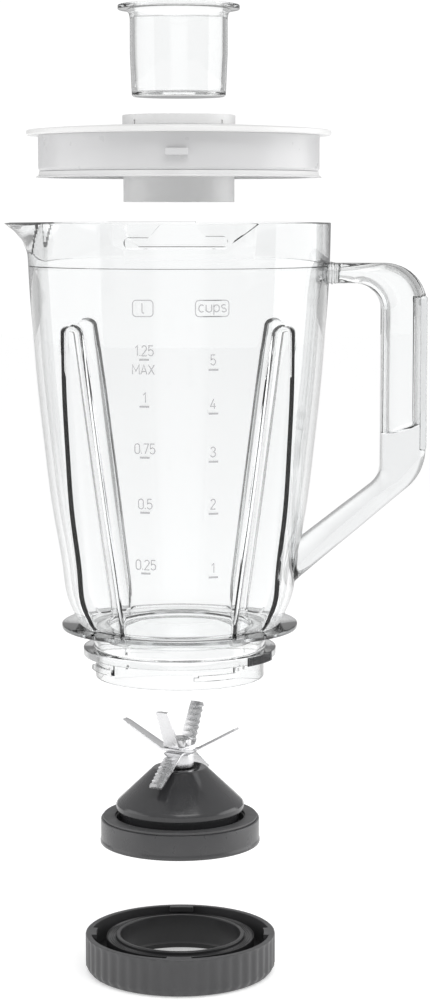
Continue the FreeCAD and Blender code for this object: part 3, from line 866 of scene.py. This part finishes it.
# ---- Measuring cap -------------------------------------------------------------------------------
# A clear thin-walled cup that stands in the filler tube. It flares into a flat flange at its mouth
# and turns in with a small radius at its floor.
cap_loop = rounded([(10.0, 427.1), (21.6, 427.1), (22.3, 427.8), (22.5, 431.0), (23.2, 447.0),
                    (23.2, 463.6), (23.6, 466.0), (25.0, 467.7), (28.9, 467.9), (28.9, 470.0), (22.4, 470.0),
                    (21.4, 466.0), (21.3, 447.0), (20.4, 429.4), (19.6, 428.2), (10.0, 428.1)], 0.4, 4)
cap_loop = [(0.0, 427.1)] + cap_loop + [(0.0, 428.1)]
cap = spun("cup", cap_loop, 144)
# Painted shade: the cup's edges darken into grey outlines
cap_plastic = clear_plastic("cap_plastic", 14.0, painted_edge_shade=0.05, painted_edge_start=0.58)
place(cap, cap_plastic, "cap", "clear_cap", "measuring_cap")


# ---- Blade unit: base, seal and cone ---------------------------------------------------------------
# A dark grey base ring seals against the jug's floor with a flat gasket; the glossy cone above it
# carries the shaft in two sintered bushes under a black shaft seal.
dark = plastic("dark_moulding", (0.050, 0.050, 0.052), 0.30, 0.0004, 0.00001, 0.06, 0.05)
base = spun("base_ring", loop([(26.7, 69.7), (36.9, 69.7), (36.9, 65.0), (39.0, 65.0), (39.25, 65.3),
                               (39.25, 66.5), (38.9, 67.2), (38.9, 77.0), (31.3, 77.0), (31.3, 72.0),
                               (26.7, 72.0)], 0.45))
place(base, dark, "blade_unit", "dark_grey", "blade_base")
gasket_rubber = plastic("gasket_rubber", (0.075, 0.075, 0.077), 0.5, 0.0006, 0.00002)
gasket = spun("flat_gasket", loop([(31.8, 77.0), (37.9, 77.0), (37.9, 78.2), (31.8, 78.2)], 0.35))
place(gasket, gasket_rubber, "blade_unit", "grey_rubber", "base_gasket")
cone_gloss = plastic("cone_gloss", (0.038, 0.038, 0.040), 0.16, 0.0007, 0.000006, 0.05, 0.04)
cone_points = [(25.9, 72.0), (28.7, 72.0), (28.7, 81.2), (31.0, 81.2), (31.4, 81.7), (31.4, 84.1),
               (30.7, 85.3), (13.6, 101.6), (12.8, 102.1), (8.1, 102.1), (8.1, 99.1), (6.5, 99.1), (6.5, 82.0),
               (9.6, 82.0), (9.6, 98.4), (11.4, 98.4), (27.2, 84.4), (27.2, 80.4), (25.9, 79.2)]
cone = spun("cone", loop(cone_points, 0.28))
place(cone, cone_gloss, "blade_unit", "dark_grey", "blade_cone")
black = plastic("black_rubber", (0.012, 0.012, 0.012), 0.55, 0.0005, 0.00002)
shaft_seal = spun("seal_lip", loop([(4.06, 99.1), (8.05, 99.1), (8.05, 101.7), (6.4, 101.7), (5.2, 100.6),
                                    (4.06, 101.6)], 0.2), 96)
place(shaft_seal, black, "blade_unit", "black_rubber", "shaft_seal")


def metal(name, colour, rough, stretch, turn_deg=0.0, depth=0.000006, scale=900):
    """Bare metal with drawn lines along its length, or fine pores where it is sintered."""
    mat, tree, body = material(name)
    lines = object_noise(tree, scale, 3, stretch, math.radians(turn_deg))
    feed(tree, body, {"Metallic": 1.0,
                      "Base Color": ramp(tree, lines, (0.3, [c * 0.93 for c in colour]), (0.65, colour)),
                      "Roughness": vary(tree, lines, rough - 0.06, rough + 0.08),
                      "Normal": relief(tree, lines, 0.08, depth)})
    return mat


bronze = metal("sintered_bronze", (0.42, 0.29, 0.15), 0.45, (1, 1, 1), scale=1400)
for name, low, high in (("upper_bush", 91.6, 99.05), ("lower_bush", 82.0, 90.0)):
    bush = spun(name + "_sleeve", loop([(4.05, low), (6.48, low), (6.48, high), (4.05, high)], 0.4), 72)
    place(bush, bronze, "blade_unit", "bronze", name)


# ---- Blades on their shaft -------------------------------------------------------------------------
# Three pressed steel strips crossed on a turned shaft: one pair bent down, one sloping up and one
# nearly upright. Each arm has one ground edge, and a domed nut holds the stack on its spacer.
hub_z, blade_t = 109.2, 1.2
bright_steel = metal("turned_steel", (0.66, 0.66, 0.67), 0.24, (1, 1, 14))


def blade_arm(az, level, reach, rise, bend_r, width, tip_width, pitch, bite):
    """Rings of one arm from the hub to its tip: flat, bent on a small radius, then straight."""
    slope = math.atan2(rise, reach - bend_r)
    long = math.hypot(rise, reach - bend_r)
    bend = 2.4
    stations = list(np.linspace(0, bend_r - 1.2, 4)) + list(np.linspace(bend_r - 1.0, bend_r + 1.4, 7))
    stations += list(np.arange(bend_r + 1.7, bend_r + long - 0.05, 0.42)) + [bend_r + long]
    rings = []
    x, z, last = 0.0, level + blade_t / 2, 0.0
    for s in stations:
        lean = slope * min(max((s - bend_r + 1.0) / bend, 0.0), 1.0)
        x += (s - last) * math.cos(lean)
        z += (s - last) * math.sin(lean)
        last = s
        t = max(s - bend_r, 0.0) / long
        half = (width + (tip_width - width) * t) / 2
        nose = max(s - (bend_r + long - 2.2), 0.0)
        keen, spine = half - nose * 0.4, half - nose * 0.1
        ground = min(max((s - bend_r - 1.0) / 1.5, 0.0), 1.0)
        if bend_r + 2.2 < s < bend_r + long - 2.0:
            keen -= bite * abs(math.sin(math.pi * (s - bend_r) / pitch)) ** 0.7
        up = (-math.sin(lean), math.cos(lean))
        ring = []
        for w, h in ((-spine + 0.15, -0.5), (-spine, -0.4), (-spine, 0.4), (-spine + 0.15, 0.5),
                     (keen - 0.15 - 1.9 * ground, 0.5), (keen, 0.4 - 0.68 * ground), (keen, -0.4),
                     (keen - 0.15, -0.5)):
            px, pz = x + up[0] * h * blade_t, z + up[1] * h * blade_t
            a = math.radians(az)
            ring.append((px * math.cos(a) + w * math.sin(a), px * math.sin(a) - w * math.cos(a), pz))
        rings.append(ring)
    return rings


def blade(name, solid, az, *shape):
    """Both arms in one strip, drilled for the shaft."""
    near, far = blade_arm(az, *shape), blade_arm(az + 180, *shape)
    piece = loft(name, [ring[::-1] for ring in far[:0:-1]] + near, 28)
    low, high = shape[0] - 3, shape[0] + 5
    combine(piece, spun("drill", [(0, low), (4.02, low), (4.02, high), (0, high)], 48), "DIFFERENCE")
    outward(piece, 28)
    grain = metal(name + "_steel", (0.76, 0.76, 0.77), 0.22, (0.12, 1.0, 0.3), az, 0.0000015)
    place(piece, grain, "blades", "blade_steel", solid)


# level, reach, rise, bend, width, tip width, and the teeth's pitch and depth
blade("low_strip", "blade_lower", 244, hub_z, 27.0, -12.6, 7.4, 9.4, 7.6, 2.3, 0.8)
blade("middle_strip", "blade_middle", 155, hub_z + blade_t, 30.0, 12.4, 8.0, 9.4, 7.4, 1.0, 0.0)
blade("upright_strip", "blade_upright", 236, hub_z + 2 * blade_t, 15.4, 19.6, 6.4, 9.2, 7.8, 2.9, 0.9)
stack_top = hub_z + 3 * blade_t
shaft_top = hub_z + 6.2
shaft = spun("shaft", [(0, 74.4), (3.6, 74.4), (4.0, 74.8), (4.0, stack_top), (3.0, stack_top),
                       (3.0, hub_z + 5.8), (2.6, shaft_top), (0, shaft_top)], 72)
place(shaft, bright_steel, "blades", "steel", "blade_shaft")
spacer = spun("spacer", loop([(4.0, 102.4), (6.8, 102.4), (6.8, 109.2), (4.0, 109.2)], 0.4), 96)
place(spacer, bright_steel, "blades", "steel", "blade_spacer")
nut_rings = []
for up, r in ((0, 5.2), (0.4, 5.6), (2.7, 5.6), (3.2, 5.0)):
    ring = []
    for k in range(48):
        a = 2 * math.pi * k / 48
        flat = 4.85 / math.cos((a % (math.pi / 3)) - math.pi / 6)
        ring.append((min(r, flat) * math.cos(a), min(r, flat) * math.sin(a), stack_top + up))
    nut_rings.append(ring)
nut_rings += [hoop(r, stack_top + up, 48) for up, r in ((3.3, 4.5), (3.9, 4.0), (4.3, 3.1))]
nut = loft("domed_nut", nut_rings)
drill = spun("drill", [(0, stack_top - 1), (3.02, stack_top - 1), (3.02, shaft_top), (0, shaft_top)], 48)
combine(nut, drill, "DIFFERENCE")
outward(nut)
place(nut, bright_steel, "blades", "steel", "blade_nut")
washer = spun("nylon_washer", loop([(4.0, 79.6), (7.4, 79.6), (7.4, 80.9), (4.0, 80.9)], 0.3), 72)
place(washer, seal_plastic, "blades", "pale_seal", "thrust_washer")
clip = spun("clip", loop([(4.0, 80.9), (6.4, 80.9), (6.4, 81.8), (4.0, 81.8)], 0.2), 72)
place(clip, bright_steel, "blades", "steel", "shaft_circlip")
coupling_plastic = plastic("coupling_plastic", (0.03, 0.03, 0.03), 0.42, 0.0005, 0.00002)
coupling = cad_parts["drive_coupling"]
coupling.data.materials.clear()
coupling.data.materials.append(coupling_plastic)


# ---- Lock ring with its slip washer ----------------------------------------------------------------
# A dark grey ring with fluted sides that the hand turns; four lugs inside it run up the collar's
# ramps. Its hub carries a black washer whose fine ridges slide against the base.
ring_plastic = plastic("ring_plastic", (0.056, 0.056, 0.058), 0.42, 0.0004, 0.000014, 0.06, 0.05)
ring_h, ring_r, ring_in = 18.8, 46.9, 44.0
wall_rows = [(ring_r, z) for z in np.linspace(3.4, ring_h - 0.9, 12)]
ring_loop = ([(43.0, 0.0), (44.2, 0.0), (44.9, 0.35), (45.8, 1.4), (46.5, 2.6)] + wall_rows
             + [(46.75, ring_h - 0.3), (46.4, ring_h), (ring_in + 0.3, ring_h), (ring_in, ring_h - 0.3),
                (ring_in, 3.2), (43.0, 3.2)])
ring = spun("fluted_ring", ring_loop, 576)
tree, sizes, end = node_tree("ring_flutes", flutes=48, depth=1.0, wall=1.0, lead=1.0, fade_low=1.0,
                             fade_high=1.0)
spot = node(tree, "GeometryNodeInputPosition").outputs[0]
parts = node(tree, "ShaderNodeSeparateXYZ", {0: spot}).outputs
level = node(tree, "ShaderNodeVectorMath", {0: spot, 1: (1, 1, 0)}, operation="MULTIPLY").outputs[0]
far_out = node(tree, "ShaderNodeVectorMath", {0: level}, operation="LENGTH")
turn = maths(tree, "ARCTAN2", parts["Y"], parts["X"])
phase = maths(tree, "MULTIPLY", turn, maths(tree, "MULTIPLY", sizes["flutes"], 0.5))
scallop = maths(tree, "POWER", maths(tree, "ABSOLUTE", maths(tree, "SINE", phase)), 2.2)
fade = vary(tree, far_out.outputs["Value"], 0.0, 1.0, sizes["wall"], sizes["lead"])
top = vary(tree, parts["Z"], 1.0, 0.0, sizes["fade_low"], sizes["fade_high"])
deep = scallop
for factor in (sizes["depth"], fade, top):
    deep = maths(tree, "MULTIPLY", deep, factor)
inwards = node(tree, "ShaderNodeVectorMath", {0: level}, operation="NORMALIZE")
shift = node(tree, "ShaderNodeVectorMath", {0: inwards.outputs[0], "Scale": deep}, operation="SCALE")
pressed = node(tree, "ShaderNodeVectorMath", {0: shift.outputs[0], 1: (-1, -1, 0)}, operation="MULTIPLY")
fluted = node(tree, "GeometryNodeSetPosition", {0: sizes["Geometry"], "Offset": pressed.outputs[0]})
close_tree(tree, end, fluted.outputs[0], ring_plastic)
grow(ring, tree, 40, flutes=48, depth=0.0006, wall=0.0446, lead=0.0462, fade_low=(ring_h - 1.4) * MM,
     fade_high=(ring_h - 0.4) * MM)
lugs = [sector(44.3, 41.5, ring_h - 2.4, ring_h - 0.02, 90 * k - 7.9, 15.8, 12) for k in range(4)]
combine(ring, gather("lugs", lugs), "UNION")
outward(ring, 40)
place(ring, ring_plastic, "ring", "dark_grey", "lock_ring")
ring_web = spun("ring_web", loop([(31.7, 3.2), (33.5, 3.2), (33.5, 0.0), (35.5, 0.0), (35.5, 3.2),
                                  (44.0, 3.2), (44.0, 7.6), (31.7, 7.6)], 0.25))
# The web and hub are darker than the ring: partly their own darker plastic, partly painted shade for the
# shadowed inside of the ring
well_shaded_grey = plastic("well_shaded_grey", (0.020, 0.020, 0.021), 0.36, 0.0005, 0.00001)
place(ring_web, well_shaded_grey, "ring", "dark_grey", "ring_floor")
hub = spun("ring_hub_wall", loop([(29.7, 4.6), (30.5, 3.2), (31.7, 3.2), (31.7, 17.7), (31.3, 18.1),
                                  (30.0, 18.1), (29.7, 17.8)], 0.3))
place(hub, well_shaded_grey, "ring", "dark_grey", "ring_hub")

slip = spun("slip_washer_body", loop([(31.76, 7.6), (36.5, 7.6), (36.5, 16.9), (36.2, 17.2), (35.9, 16.4),
                                      (31.76, 16.4)], 0.12))
tree, sizes, end = node_tree("washer_ridges", ridges=3, inner=1.0, gap=1.0, crest=1.0, height=1.0)
first_mark = vector(tree, X=sizes["inner"], Z=sizes["height"])
marks = node(tree, "GeometryNodeMeshLine", {"Count": sizes["ridges"], "Start Location": first_mark,
                                            "Offset": vector(tree, X=sizes["gap"])})
circle = node(tree, "GeometryNodeCurvePrimitiveCircle", {"Resolution": 160, "Radius": 1.0})
parts = node(tree, "ShaderNodeSeparateXYZ", {0: node(tree, "GeometryNodeInputPosition").outputs[0]}).outputs
hoops = node(tree, "GeometryNodeInstanceOnPoints", {0: marks.outputs[0], "Instance": circle.outputs[0],
                                                    "Scale": vector(tree, X=parts["X"], Y=parts["X"], Z=1.0)})
home = vector(tree, X=maths(tree, "MULTIPLY", parts["X"], -1.0))
centred = node(tree, "GeometryNodeTranslateInstances", {0: hoops.outputs[0], "Translation": home,
                                                        "Local Space": False})
wires = node(tree, "GeometryNodeRealizeInstances", {0: centred.outputs[0]})
section = node(tree, "GeometryNodeCurvePrimitiveCircle", {"Resolution": 8, "Radius": sizes["crest"]})
swept = node(tree, "GeometryNodeCurveToMesh", {0: wires.outputs[0], "Profile Curve": section.outputs[0]})
ridge_rubber = plastic("ridge_rubber", (0.016, 0.016, 0.017), 0.34, 0.0005, 0.000012)
close_tree(tree, end, combined(tree, sizes["Geometry"], swept.outputs[0]), ridge_rubber)
grow(slip, tree, ridges=4, inner=0.0324, gap=0.00105, crest=0.00034, height=16.35 * MM)
place(slip, ridge_rubber, "washer", "black_rubber", "slip_washer")
